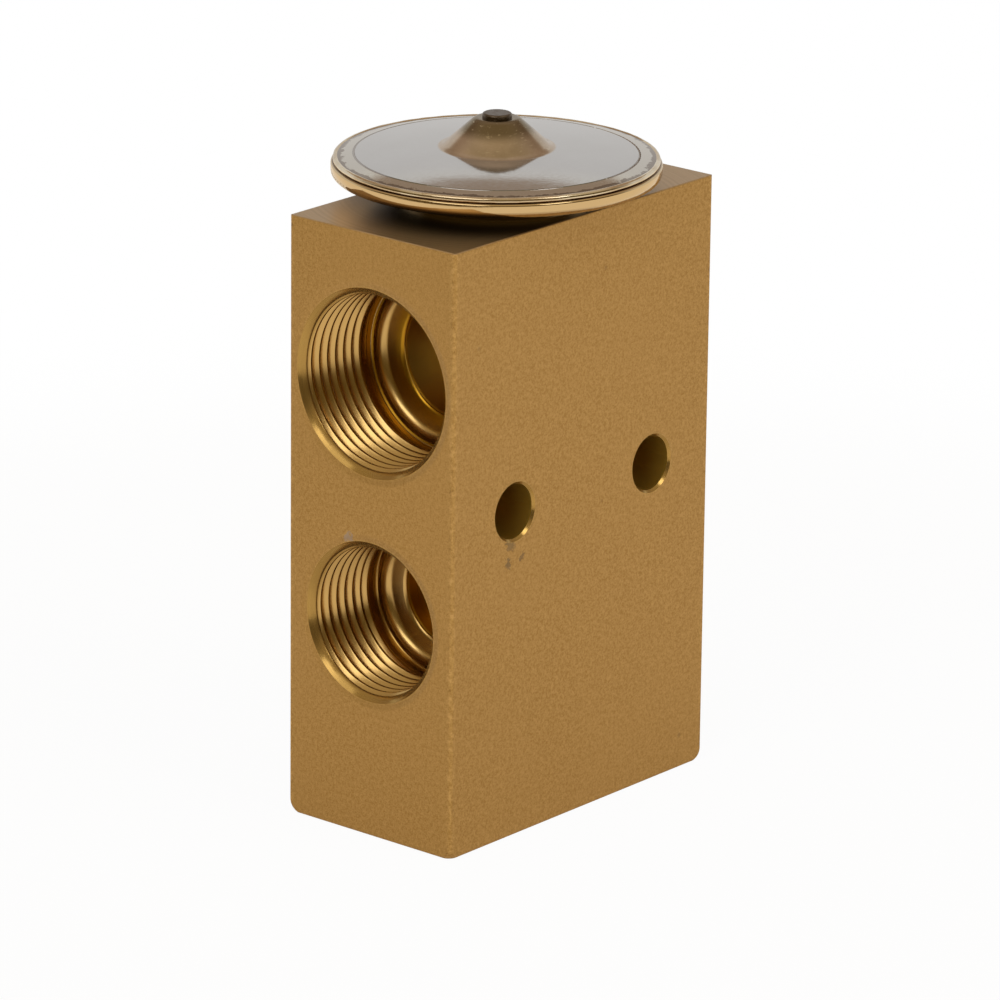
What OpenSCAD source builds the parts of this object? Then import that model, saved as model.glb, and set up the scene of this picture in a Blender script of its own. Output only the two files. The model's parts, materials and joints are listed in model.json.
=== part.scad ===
/* [Block] */
// Width of the block, along the axes of its ports
block_w = 47.2; // [46.8:0.1:56]
// Depth of the block, through its mounting holes
block_d = 25.4; // [25:0.1:34]
// Height of the block
block_h = 74.0; // [73.6:0.1:90]
// Rounding of the four upright edges
block_edge_r = 0.45; // [0.3:0.05:0.9]
// Rounding of the edges round the foot
block_foot_r = 0.45; // [0.3:0.05:1.5]
// Size of the rounder corner at each end of the foot's edges
block_corner = 1.6; // [1.6:0.1:4]
// Chamfer round the machined top
block_top_chamfer = 0.15; // [0.05:0.05:0.5]
// Place of the valve's upright axis, from the middle of the block
axis_x = -1.4; // [-1.8:0.1:0]

/* [Suction ports, high on both narrow faces] */
// Height of the suction passage above the foot
suction_z = 55.95; // [55.7:0.05:56.5]
// Diameter of the countersunk mouth
suction_mouth_d = 22.9; // [22.5:0.1:23.4]
// Diameter over the thread's roots
suction_thread_d = 22.2; // [21.4:0.1:22.4]
// Depth of the threaded length
suction_thread_depth = 12.2; // [9:0.1:12.4]
// Diameter of the smooth seat for the fitting's ring
suction_seat_d = 21.0; // [19:0.1:21.2]
// Depth at which the seat's floor meets the passage
suction_floor_depth = 14.6; // [14.4:0.1:15.5]
// Diameter of the passage right through the block
suction_bore_d = 14.6; // [12:0.1:15]

/* [Outlet port, low on the left narrow face] */
// Height of the outlet port
outlet_z = 26.7; // [26:0.1:27.4]
// Diameter of the countersunk mouth
outlet_mouth_d = 19.7; // [19.3:0.1:20.4]
// Diameter over the thread's roots
outlet_thread_d = 19.0; // [18.4:0.1:19.2]
// Depth of the threaded length
outlet_thread_depth = 11.8; // [9:0.1:12.2]
// Diameter of the smooth seat for the fitting's ring
outlet_seat_d = 18.2; // [16:0.1:18.3]
// Depth at which the seat's floor meets the pocket
outlet_floor_depth = 14.0; // [13.8:0.1:14.6]
// Diameter of the pocket behind the seat
outlet_pocket_d = 12.4; // [10:0.1:12.6]
// Depth of the pocket's floor
outlet_pocket_depth = 15.6; // [15:0.1:15.8]
// Diameter of the passage between the pocket and the orifice
outlet_bore_d = 8.0; // [6.5:0.1:8.6]
// Length of that passage past the far side of the orifice
outlet_bore_past = 0.8; // [0.4:0.1:1.5]

/* [Inlet port, low on the right narrow face] */
// Height of the inlet port
inlet_z = 16.2; // [15.8:0.1:16.4]
// Diameter of the countersunk mouth
inlet_mouth_d = 16.7; // [16.1:0.1:17.2]
// Diameter over the thread's roots
inlet_thread_d = 15.8; // [15:0.1:16]
// Depth of the threaded length
inlet_thread_depth = 10.4; // [8:0.1:11]
// Diameter of the smooth seat for the fitting's ring
inlet_seat_d = 14.9; // [13:0.1:15]
// Depth at which the seat's floor meets the passage
inlet_floor_depth = 12.8; // [12.4:0.1:13.6]
// Length of the passage inside the spring chamber
inlet_bore_past = 2.0; // [1.5:0.1:2.4]
// Diameter of the passage into the spring chamber
inlet_bore_d = 6.8; // [5.5:0.1:6.9]

/* [All ports] */
// Small chamfer where the thread ends at the seat
port_shoulder_break = 0.15; // [0.05:0.05:0.3]
// Fillet between the seat's wall and its floor
port_fillet_r = 0.8; // [0.3:0.1:0.8]
// Slope of the seat's floor towards its hole, in degrees
port_floor_slope = 12; // [2:1:14]
// Chamfer on the edge of the hole in the floor
port_hole_break = 0.2; // [0.05:0.05:0.4]

/* [Mounting holes] */
// Height of the two mounting holes
mount_hole_z = 40.45; // [40.1:0.05:40.9]
// Place of the middle between the two holes, from the middle of the block
mount_hole_shift = 0.2; // [-0.5:0.1:0.5]
// Distance between the two mounting holes
mount_hole_spacing = 25.3; // [24:0.1:28]
// Diameter of a mounting hole
mount_hole_d = 6.7; // [5:0.1:7]
// Chamfer on both edges of a mounting hole
mount_hole_chamfer = 0.3; // [0.1:0.05:0.5]

/* [Rim of the power head] */
// Diameter of the lower cover's rim
rim_d = 39.0; // [38.3:0.1:42]
// Height of the rim's underside above the block
rim_lift = 2.6; // [2.4:0.1:4]
// Thickness of the lower cover at its rim
rim_t = 1.75; // [1.5:0.05:2.4]
// Rounding of the rim's lower edge
rim_foot_r = 0.8; // [0.3:0.1:1]
// Rounding of the rim's upper edges, lower and upper cover alike
rim_edge_r = 0.25; // [0.1:0.05:0.3]

/* [Upper cover] */
// Diameter of the upper cover
plate_d = 37.9; // [37.2:0.1:38.2]
// Thickness of the sheet
plate_t = 0.8; // [0.6:0.05:0.9]
// Diameter of the pressed groove inside the rim
groove_d = 33.6; // [30:0.1:35]
// Fall of the outer ring from the groove to the cover's edge
ring_drop = 0.35; // [0.1:0.05:0.4]
// Radius of the groove's round bottom
groove_r = 0.14; // [0.06:0.02:0.3]
// Rise of the plate from the groove to its middle
dome_rise = 1.0; // [0.6:0.05:2]
// Height of the pressed boss above the plate's middle
boss_h = 3.35; // [2.6:0.05:4.5]
// Diameter of the boss at its top, before its shoulder is rounded
boss_top_d = 5.3; // [5:0.1:6.4]
// Slope of the boss's side, in degrees from level
boss_slope = 42; // [38:1:55]
// Rounding of the boss's shoulder
boss_shoulder_r = 1.0; // [1:0.05:1.3]
// Radius of the hollow flare at the boss's foot
boss_flare_r = 1.4; // [0.6:0.1:2]
// Diameter of the charging plug's head
plug_d = 3.5; // [3:0.1:3.9]
// Height of the plug's head above the boss
plug_h = 0.55; // [0.4:0.05:1.4]
// Rounding of the plug's head
plug_edge_r = 0.25; // [0.1:0.05:0.35]
// Diameter of the charging hole through the boss
charge_hole_d = 1.8; // [1.2:0.1:2.2]
// Length of the plug's shank below the boss's top
plug_shank = 1.6; // [1:0.1:2]

/* [Lower cover] */
// Height of the shoulder's upright edge
shoulder_h = 0.35; // [0.2:0.05:0.6]
// Diameter of the threaded neck
neck_d = 19.0; // [17:0.1:19.2]
// Length of the threaded neck
neck_len = 5.8; // [5:0.1:6]
// Diameter of the hole through the neck
neck_bore_d = 10.6; // [10:0.1:12]
// Inside diameter of the lower cover's rim
cavity_d = 34.0; // [33:0.1:35]
// Chamfer at the neck's end
neck_chamfer = 0.6; // [0.2:0.1:1]
// Space left in the block under the neck's end
neck_end_space = 0.4; // [0.2:0.1:0.8]
// Thickness of the ring that seals the neck
head_seal_t = 1.55; // [1.2:0.05:1.7]
// Width of the shoulder's land outside the sealing ring
seal_land = 0.65; // [0.5:0.05:0.9]
// Space round the diaphragm's stop inside the dish
dish_space = 0.5; // [0.3:0.1:0.8]

/* [Diaphragm and its stop] */
// Thickness of the diaphragm
diaphragm_t = 0.15; // [0.1:0.05:0.2]
// Height of a pressed wave above the flat diaphragm
wave_h = 0.25; // [0.1:0.05:0.3]
// Number of pressed waves
waves = 3; // [2:1:4]
// Inner diameter of the pressed waves
wave_in_d = 14.0; // [10:0.5:18]
// Outer diameter of the pressed waves
wave_out_d = 31.0; // [28:0.5:32]
// Diameter of the stop under the diaphragm
stop_d = 24.6; // [22:0.1:25]
// Thickness of the stop
stop_t = 1.4; // [1.1:0.05:1.5]
// Diameter of the stop's hub
stop_hub_d = 8.4; // [7.4:0.1:9.4]
// Length of the stop's hub
stop_hub_len = 3.6; // [3:0.1:6]

/* [Rods and rod seal] */
// Diameter of the sensing rod in the suction passage
rod_d = 5.0; // [4:0.1:6]
// Depth of the rod's seat in the stop's hub
rod_engage = 2.8; // [2:0.1:2.9]
// Diameter of the push pin
pin_d = 2.6; // [2:0.1:3]
// Depth of the pin's seat in the sensing rod
pin_engage = 2.4; // [1.5:0.1:4]
// Thickness of the ring that seals the pin
rod_seal_t = 1.8; // [1.2:0.1:2]
// Length of the bush that holds the ring down
retainer_len = 3.2; // [2:0.1:4]
// Depth of the bush below the passage's floor
retainer_inset = 0.4; // [0.2:0.1:1]

/* [Valve] */
// Diameter of the valve's ball
ball_d = 7.94; // [7.5:0.02:8.2]
// Diameter of the orifice
orifice_d = 5.0; // [4.4:0.1:5.2]
// Length of the orifice above its seat
orifice_len = 2.2; // [2:0.1:2.4]
// Height of the seat's cone
seat_h = 0.8; // [0.6:0.05:0.9]
// Travel of the valve from shut to fully open
valve_travel = 0.7; // [0.3:0.05:0.75]
// Diameter of the carrier's cup under the ball
carrier_d = 7.4; // [7:0.1:7.8]
// Diameter of the carrier's flange
flange_d = 9.4; // [9:0.1:9.6]
// Thickness of the carrier's flange
flange_t = 0.9; // [0.6:0.1:1]
// Height of the carrier, from the flange's underside to the cup's edge
carrier_h = 3.0; // [2.8:0.1:3.2]
// Diameter of the carrier's spigot inside the spring
spigot_d = 5.2; // [4:0.1:5.4]
// Length of the spigot
spigot_len = 2.4; // [1:0.1:2.6]
// Diameter of the flat bottom of the cup
cup_pit_d = 2.4; // [1.6:0.1:3]
// Metal between the cup's bottom and the spring's seat
carrier_web = 0.55; // [0.4:0.05:0.8]

/* [Damping spring] */
// Thickness of the sheet
damper_t = 0.25; // [0.15:0.05:0.3]
// Width of a leg
damper_leg_w = 1.6; // [1:0.1:2]
// Height of a leg's upright part
damper_leg_h = 2.4; // [1.5:0.1:3]
// Number of legs
damper_legs = 3; // [3:1:3]

/* [Superheat spring] */
// Thickness of the spring's wire
wire_d = 1.1; // [0.8:0.05:1.15]
// Outside diameter of the spring
spring_d = 8.3; // [8:0.1:8.4]
// Turns of the spring, the closed ends among them
spring_turns = 4.5; // [4:0.5:4.5]
// Gap between the closed turns at each end
coil_gap = 0.1; // [0.05:0.05:0.15]

/* [Adjusting screw] */
// Diameter of the spring chamber
chamber_d = 12.4; // [12.2:0.1:12.8]
// Diameter over the adjusting screw's thread
adjuster_thread_d = 14.0; // [13.6:0.1:15]
// Depth of the threaded length below the spring chamber
adjuster_thread_depth = 6.8; // [6.6:0.1:7]
// Chamfer at the threaded hole's mouth
adjuster_mouth_chamfer = 0.6; // [0.2:0.1:1]
// Depth of the screw's foot inside the block
adjuster_recess = 1.2; // [1.1:0.1:1.4]
// Length of the screw's threaded part
adjuster_thread_len = 4.2; // [3.8:0.1:4.3]
// Length of the screw's smooth nose
nose_len = 4.8; // [4.6:0.1:5]
// Distance across the flats of the key socket
socket_af = 8.0; // [6:0.5:8]
// Depth of the key socket
socket_depth = 3.0; // [2.5:0.1:3.1]
// Metal left between the key socket and the spring cup
adjuster_web = 1.2; // [1:0.1:1.5]
// Inside diameter of the groove for the screw's ring
adjuster_groove_d = 10.2; // [10:0.1:10.4]
// Width of the groove
adjuster_groove_w = 1.2; // [1.1:0.05:1.4]
// Distance from the nose's end to the groove
adjuster_groove_in = 0.8; // [0.5:0.1:0.9]

/* [Clearances] */
// Gap round a thread or a piece seated in its hole, in radius
seat_gap = 0.03; // [0.02:0.01:0.05]
// Gap round a piece that slides or turns in its hole, in radius
running_gap = 0.06; // [0.04:0.01:0.08]
// Gap between a sealing ring and the walls round it
ring_gap = 0.05; // [0.03:0.01:0.08]
// Gap left where a moving piece comes to its stop
stop_gap = 0.1; // [0.05:0.05:0.2]
// Gap between the spring and the cup round it
spring_gap = 0.25; // [0.2:0.05:0.3]

/* [Hidden] */
$fn = 96;
over = 1;
dome_facets = 720;

// Heights of the power head, above the foot of the block
rim_foot_z = block_h + rim_lift;
rim_top_z = rim_foot_z + rim_t;
plate_foot_z = rim_top_z + diaphragm_t;
plate_top_z = plate_foot_z + plate_t;
crown_z = plate_top_z + dome_rise;
boss_top_z = crown_z + boss_h;
dome_r = (pow(groove_d / 2, 2) + pow(dome_rise, 2)) / (2 * dome_rise);
stop_top_z = rim_top_z - wave_h - ring_gap;
stop_foot_z = stop_top_z - stop_t;
cavity_floor_z = stop_foot_z - valve_travel - stop_gap;
floor_d = stop_d + 2 * dish_space;
neck_foot_z = block_h - neck_len;

// Ring that seals the neck, in a pocket at the top of the block
head_pocket_r = neck_d / 2 + head_seal_t + 2 * ring_gap;
head_pocket_h = head_seal_t + 2 * ring_gap;
neck_hole_foot_z = neck_foot_z - neck_end_space;

// Shoulder that seats on the block round that ring, and the dish that rises from it
shoulder_d = 2 * (head_pocket_r + seal_land);
dish_slope = (rim_lift - shoulder_h) / (rim_d / 2 - rim_foot_r - shoulder_d / 2);

// Heights in the wall between the suction passage and the outlet
wall_top_z = suction_z - suction_bore_d / 2;
retainer_top_z = wall_top_z - retainer_inset;
retainer_foot_z = retainer_top_z - retainer_len;
rod_seal_z = retainer_foot_z - ring_gap - rod_seal_t / 2;
seal_pocket_foot_z = rod_seal_z - rod_seal_t / 2 - ring_gap;
pin_hole_d = pin_d + 2 * running_gap;
seal_pocket_d = pin_d + 2 * rod_seal_t + 4 * ring_gap;

// Heights of the orifice, the ball and its carrier, with the valve shut
chamber_top_z = outlet_z - outlet_bore_d / 2 - orifice_len - seat_h;
seat_foot_d = orifice_d + 2 * seat_h;
ball_touch = ball_d / 2 * sin(45);
ball_z = chamber_top_z + seat_foot_d / 2 - 2 * ball_touch - ring_gap;
cup_point_z = ball_z - 2 * ball_touch - ring_gap;
carrier_foot_z = cup_point_z + cup_pit_d / 2 - carrier_web;
cup_edge_z = carrier_foot_z + carrier_h;

// Heights of the rods
rod_top_z = stop_foot_z - stop_hub_len + rod_engage;
rod_foot_z = wall_top_z + valve_travel;
pin_top_z = rod_foot_z + pin_engage;
pin_foot_z = ball_z + ball_d / 2;

// Heights of the adjusting screw
adjuster_foot_z = adjuster_recess;
nose_foot_z = adjuster_foot_z + adjuster_thread_len;
nose_top_z = nose_foot_z + nose_len;
spring_cup_z = adjuster_foot_z + socket_depth + adjuster_web;
spring_cup_d = spring_d + 2 * spring_gap;
groove_top_z = nose_top_z - adjuster_groove_in;
groove_foot_z = groove_top_z - adjuster_groove_w;
nose_d = chamber_d - 2 * running_gap;
adjuster_seal_t = (chamber_d - adjuster_groove_d) / 2 - 2 * ring_gap;

// Colours of the metals and the rubber
brass = [0.72, 0.56, 0.30];
steel = [0.70, 0.68, 0.65];
dark_steel = [0.45, 0.43, 0.40];
rubber = [0.10, 0.11, 0.10];

// Rectangle with round corners, about the origin
module round_rect(w, d, r) {
    square([w - 2 * r, d], center = true);
    square([w, d - 2 * r], center = true);
    for (x = [-1, 1], y = [-1, 1]) {
        translate([x * (w / 2 - r), y * (d / 2 - r)]) circle(r);
    }
}

// Upright outline of the block: round at the foot, chamfered at the top
module block_outline(w) {
    half = w / 2;
    foot = block_foot_r;
    cham = block_top_chamfer;
    polygon([
        [-half + foot, 0], [half - foot, 0], [half, foot],
        [half, block_h - cham], [half - cham, block_h],
        [-half + cham, block_h], [-half, block_h - cham], [-half, foot]
    ]);
    for (side = [-1, 1]) {
        translate([side * (half - foot), foot]) circle(foot);
    }
}

// What the ball-round corner takes off one end of the foot's edges, at +X and +Y
module corner_cut() {
    size = block_corner;
    reach = size + over;
    ball_r = size * sqrt(2) - min(block_edge_r, block_foot_r) * (sqrt(2) - 1);
    translate([block_w / 2 - size, block_d / 2 - size, 0])
        difference() {
            translate([0, 0, -over]) cube([reach, reach, reach]);
            translate([0, 0, size]) sphere(ball_r);
        }
}

module block_blank() {
    difference() {
        intersection() {
            linear_extrude(height = block_h) round_rect(block_w, block_d, block_edge_r);
            rotate([90, 0, 0])
                linear_extrude(height = block_d, center = true) block_outline(block_w);
            rotate([90, 0, 90])
                linear_extrude(height = block_w, center = true) block_outline(block_d);
        }
        for (x = [0, 1], y = [0, 1]) {
            mirror([x, 0, 0]) mirror([0, y, 0]) corner_cut();
        }
    }
}

// Port for a fitting with a captive ring, cut along +Z from its mouth at the origin:
// countersink, threaded length, smooth seat with a filleted floor, and the hole behind it
module port_cut(mouth_d, thread_d, thread_depth, seat_d, floor_depth, hole_d, hole_depth) {
    mouth = mouth_d / 2;
    thread = thread_d / 2;
    seat = seat_d / 2;
    hole = hole_d / 2;
    slope = tan(port_floor_slope);
    corner = floor_depth - (seat - hole) * slope;
    fillet_z = corner + port_fillet_r * (slope - 1 / cos(port_floor_slope));
    fillet_x = seat - port_fillet_r;
    edge = hole + port_hole_break;
    rotate_extrude() {
        polygon([
            [0, -over], [mouth + over, -over], [thread, mouth - thread],
            [thread, thread_depth], [seat + port_shoulder_break, thread_depth],
            [seat, thread_depth + port_shoulder_break], [seat, fillet_z],
            [
                fillet_x + port_fillet_r * sin(port_floor_slope),
                fillet_z + port_fillet_r * cos(port_floor_slope)
            ],
            [edge, floor_depth - (edge - hole) * slope],
            [hole, floor_depth + port_hole_break], [hole, hole_depth], [0, hole_depth]
        ]);
        translate([fillet_x, fillet_z]) circle(port_fillet_r);
    }
}

module suction_port_cut() {
    port_cut(suction_mouth_d, suction_thread_d, suction_thread_depth, suction_seat_d,
        suction_floor_depth, suction_bore_d, block_w / 2 + over);
}

module outlet_port_cut() {
    port_cut(outlet_mouth_d, outlet_thread_d, outlet_thread_depth, outlet_seat_d,
        outlet_floor_depth, outlet_pocket_d, outlet_pocket_depth);
    cylinder(d = outlet_bore_d, h = block_w / 2 + axis_x + orifice_d / 2 + outlet_bore_past);
}

module inlet_port_cut() {
    port_cut(inlet_mouth_d, inlet_thread_d, inlet_thread_depth, inlet_seat_d,
        inlet_floor_depth, inlet_bore_d, block_w / 2 - axis_x - chamber_d / 2 + inlet_bore_past);
}

// Everything bored along the upright axis, from the key hole to the neck's thread
module upright_bores() {
    translate([0, 0, -over]) cylinder(d = adjuster_thread_d, h = adjuster_thread_depth + over);
    translate([0, 0, -over])
        cylinder(
            d1 = adjuster_thread_d + 2 * (adjuster_mouth_chamfer + over),
            d2 = adjuster_thread_d,
            h = adjuster_mouth_chamfer + over
        );
    cylinder(d = chamber_d, h = chamber_top_z);
    translate([0, 0, chamber_top_z]) cylinder(d1 = seat_foot_d, d2 = orifice_d, h = seat_h);
    translate([0, 0, chamber_top_z]) cylinder(d = orifice_d, h = outlet_z - chamber_top_z);
    translate([0, 0, outlet_z]) cylinder(d = pin_hole_d, h = suction_z - outlet_z);
    translate([0, 0, seal_pocket_foot_z])
        cylinder(d = seal_pocket_d, h = suction_z - seal_pocket_foot_z);
    translate([0, 0, suction_z]) cylinder(d = neck_bore_d, h = block_h - suction_z);
    translate([0, 0, neck_hole_foot_z])
        cylinder(d = neck_d + 2 * seat_gap, h = block_h - neck_hole_foot_z + over);
    translate([0, 0, block_h - head_pocket_h]) cylinder(r = head_pocket_r, h = head_pocket_h + over);
}

// Plain hole along Y with a chamfer at both faces
module mounting_hole() {
    half = block_d / 2;
    wide_d = mount_hole_d + 2 * (mount_hole_chamfer + over);
    rotate([90, 0, 0]) {
        cylinder(d = mount_hole_d, h = block_d + 2 * over, center = true);
        for (side = [0, 1]) {
            mirror([0, 0, side])
                translate([0, 0, half - mount_hole_chamfer])
                    cylinder(d1 = mount_hole_d, d2 = wide_d, h = mount_hole_chamfer + over);
        }
    }
}

module valve_block() {
    color(brass)
        difference() {
            block_blank();
            translate([-block_w / 2, 0, suction_z]) rotate([0, 90, 0]) suction_port_cut();
            translate([block_w / 2, 0, suction_z]) rotate([0, -90, 0]) suction_port_cut();
            translate([-block_w / 2, 0, outlet_z]) rotate([0, 90, 0]) outlet_port_cut();
            translate([block_w / 2, 0, inlet_z]) rotate([0, -90, 0]) inlet_port_cut();
            translate([axis_x, 0, 0]) upright_bores();
            for (side = [-1, 1]) {
                translate([mount_hole_shift + side * mount_hole_spacing / 2, 0, mount_hole_z])
                    mounting_hole();
            }
        }
}

// Lower cover: threaded neck, seating shoulder, dish and rim, turned as one piece
module lower_cover() {
    rim = rim_d / 2;
    foot = rim - rim_foot_r;
    top = rim_top_z - rim_edge_r;
    neck = neck_d / 2;
    dish_top_z = cavity_floor_z + (cavity_d - floor_d) / 2 * dish_slope;
    color(steel)
        translate([axis_x, 0, 0])
            rotate_extrude() {
                polygon([
                    [neck_bore_d / 2, neck_foot_z], [neck - neck_chamfer, neck_foot_z],
                    [neck, neck_foot_z + neck_chamfer], [neck, block_h],
                    [shoulder_d / 2, block_h], [shoulder_d / 2, block_h + shoulder_h],
                    [foot, rim_foot_z], [rim, rim_foot_z + rim_foot_r], [rim, top],
                    [rim - rim_edge_r, rim_top_z], [cavity_d / 2, rim_top_z],
                    [cavity_d / 2, dish_top_z], [floor_d / 2, cavity_floor_z],
                    [neck_bore_d / 2, cavity_floor_z]
                ]);
                translate([foot, rim_foot_z + rim_foot_r]) circle(rim_foot_r);
                translate([rim - rim_edge_r, top]) circle(rim_edge_r);
            }
}

// Half section of the upper cover as if it were solid, sunk by t for its inside.
// The hollow flare touches the dome's circle and the boss's straight side,
// and the round shoulder touches that side and the flat top.
module cover_section(t) {
    crown = crown_z - t;
    shell_r = dome_r - t;
    middle_z = crown - shell_r;
    top_z = boss_top_z - t;
    top_r = boss_top_d / 2 - t * tan(boss_slope / 2);
    flare = boss_flare_r + t;
    across = top_r + flare * sin(boss_slope);
    above = top_z + flare * cos(boss_slope) - middle_z;
    p = across * cos(boss_slope) - above * sin(boss_slope);
    q = across * across + above * above - pow(shell_r + flare, 2);
    side_len = -p - sqrt(p * p - q);
    flare_at = [across + side_len * cos(boss_slope), middle_z + above - side_len * sin(boss_slope)];
    side_end = flare_at - flare * [sin(boss_slope), cos(boss_slope)];
    dome_end = [0, middle_z] + (flare_at - [0, middle_z]) * shell_r / (shell_r + flare);
    shoulder = boss_shoulder_r - t;
    shoulder_at = [top_r - shoulder * tan(boss_slope / 2), top_z - shoulder];
    shoulder_end = shoulder_at + shoulder * [sin(boss_slope), cos(boss_slope)];
    foot_z = plate_foot_z - over;
    intersection() {
        translate([0, middle_z]) circle(shell_r, $fn = dome_facets);
        translate([0, foot_z]) square([groove_d / 2, crown - foot_z]);
    }
    translate([0, foot_z]) square([groove_d / 2, plate_top_z - t - foot_z]);
    difference() {
        polygon([
            [0, foot_z], [dome_end[0], foot_z], dome_end, flare_at, side_end,
            shoulder_end, shoulder_at, [shoulder_at[0], top_z], [0, top_z]
        ]);
        translate(flare_at) circle(flare);
    }
    translate(shoulder_at) circle(shoulder);
}

// Upper cover: a pressed plate with a falling outer ring, a shallow dome and a coned boss
module upper_cover() {
    rim = plate_d / 2;
    inner = groove_d / 2;
    fall = atan(ring_drop / (rim - inner));
    edge_x = rim - rim_edge_r;
    edge_z = plate_top_z - (edge_x - inner) * tan(fall) - rim_edge_r / cos(fall);
    color(steel)
        translate([axis_x, 0, 0])
            rotate_extrude()
                difference() {
                    union() {
                        polygon([
                            [0, plate_foot_z], [rim, plate_foot_z], [rim, edge_z],
                            [edge_x, edge_z],
                            [edge_x + rim_edge_r * sin(fall), edge_z + rim_edge_r * cos(fall)],
                            [inner, plate_top_z], [0, plate_top_z]
                        ]);
                        intersection() {
                            translate([edge_x, edge_z]) circle(rim_edge_r);
                            translate([0, plate_foot_z]) square([rim, plate_t]);
                        }
                        intersection() {
                            cover_section(0);
                            translate([0, plate_foot_z]) square([rim, boss_top_z - plate_foot_z]);
                        }
                    }
                    cover_section(plate_t);
                    square([charge_hole_d / 2, boss_top_z + over]);
                    translate([groove_d / 2, plate_top_z]) circle(groove_r);
                }
}

// Plug welded into the charging hole: a round-edged head on a short shank
module charge_plug() {
    head = plug_d / 2;
    top = boss_top_z + plug_h;
    shank = charge_hole_d / 2 - seat_gap;
    color(dark_steel)
        translate([axis_x, 0, 0])
            rotate_extrude() {
                polygon([
                    [0, boss_top_z - plug_shank], [shank, boss_top_z - plug_shank],
                    [shank, boss_top_z], [head, boss_top_z], [head, top - plug_edge_r],
                    [head - plug_edge_r, top], [0, top]
                ]);
                translate([head - plug_edge_r, top - plug_edge_r])
                    intersection() {
                        circle(plug_edge_r);
                        square(plug_edge_r);
                    }
            }
}

// Depth of the diaphragm's round waves at radius r
function wave_depth(r) =
    wave_h / 2 * (1 - cos(360 * waves * (r - wave_in_d / 2) / ((wave_out_d - wave_in_d) / 2)));

module diaphragm() {
    points_a_wave = 8;
    steps = waves * points_a_wave;
    span = (wave_out_d - wave_in_d) / 2;
    rs = [for (i = [0 : steps]) wave_in_d / 2 + span * i / steps];
    edge = plate_d / 2 - rim_edge_r;
    low = concat([[0, 0]], [for (r = rs) [r, -wave_depth(r)]], [[edge, 0]]);
    high = [for (i = [len(low) - 1 : -1 : 0]) low[i] + [0, diaphragm_t]];
    color(dark_steel)
        translate([axis_x, 0, rim_top_z])
            rotate_extrude() polygon(concat(low, high));
}

// Stop that the diaphragm pushes on, with a hub for the sensing rod
module diaphragm_stop() {
    hub_foot_z = stop_foot_z - stop_hub_len;
    color(brass)
        translate([axis_x, 0, 0])
            difference() {
                union() {
                    translate([0, 0, stop_foot_z]) cylinder(d = stop_d, h = stop_t);
                    translate([0, 0, hub_foot_z]) cylinder(d = stop_hub_d, h = stop_hub_len);
                }
                translate([0, 0, hub_foot_z - over])
                    cylinder(d = rod_d + 2 * seat_gap, h = rod_engage + seat_gap + over);
            }
}

// Round ring of thickness t whose middle line has the radius r, at the height z
module seal_ring(r, t, z) {
    color(rubber)
        translate([axis_x, 0, z])
            rotate_extrude() translate([r, 0]) circle(d = t);
}

module head_seal() {
    seal_ring((head_pocket_r + neck_d / 2) / 2, head_seal_t, block_h - head_pocket_h / 2);
}

module sensing_rod() {
    color(steel)
        translate([axis_x, 0, 0])
            difference() {
                translate([0, 0, rod_foot_z]) cylinder(d = rod_d, h = rod_top_z - rod_foot_z);
                translate([0, 0, rod_foot_z - over])
                    cylinder(d = pin_d + 2 * seat_gap, h = pin_engage + seat_gap + over);
            }
}

module push_pin() {
    color(steel)
        translate([axis_x, 0, pin_foot_z]) cylinder(d = pin_d, h = pin_top_z - pin_foot_z);
}

module rod_seal() {
    seal_ring(pin_d / 2 + ring_gap + rod_seal_t / 2, rod_seal_t, rod_seal_z);
}

// Bush pressed into the wall above the pin's seal
module seal_retainer() {
    color(brass)
        translate([axis_x, 0, retainer_foot_z])
            difference() {
                cylinder(d = seal_pocket_d - 2 * seat_gap, h = retainer_len);
                translate([0, 0, -over]) cylinder(d = pin_hole_d, h = retainer_len + 2 * over);
            }
}

module valve_ball() {
    color(steel) translate([axis_x, 0, ball_z]) sphere(d = ball_d);
}

// Cup with a coned seat for the ball, a flange for the spring and a spigot inside it
module ball_carrier() {
    cup = carrier_d / 2;
    flange = flange_d / 2;
    spigot = spigot_d / 2;
    pit = cup_pit_d / 2;
    pit_z = cup_point_z + pit;
    lip = cup_edge_z - cup_point_z;
    color(brass)
        translate([axis_x, 0, 0])
            rotate_extrude()
                polygon([
                    [0, carrier_foot_z - spigot_len], [spigot, carrier_foot_z - spigot_len],
                    [spigot, carrier_foot_z], [flange, carrier_foot_z],
                    [flange, carrier_foot_z + flange_t], [cup, carrier_foot_z + flange_t],
                    [cup, cup_edge_z], [lip, cup_edge_z], [pit, pit_z], [0, pit_z]
                ]);
}

// Leaf spring round the carrier: a flat ring with bent legs that rub on the chamber's wall
module damping_spring() {
    ring_in = carrier_d / 2 + running_gap;
    ring_out = flange_d / 2;
    wall = sqrt(pow(chamber_d / 2 - ring_gap, 2) - pow(damper_leg_w / 2, 2));
    knee = wall - 2 * damper_t;
    color(steel)
        translate([axis_x, 0, carrier_foot_z + flange_t]) {
            difference() {
                cylinder(r = ring_out, h = damper_t);
                translate([0, 0, -over]) cylinder(r = ring_in, h = damper_t + 2 * over);
            }
            for (i = [0 : damper_legs - 1]) {
                rotate([90, 0, 180 + i * 360 / damper_legs])
                    linear_extrude(height = damper_leg_w, center = true)
                        polygon([
                            [(ring_in + ring_out) / 2, 0], [knee + damper_t, 0],
                            [wall, damper_leg_h], [wall - damper_t, damper_leg_h],
                            [knee, damper_t], [(ring_in + ring_out) / 2, damper_t]
                        ]);
            }
        }
}

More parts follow.
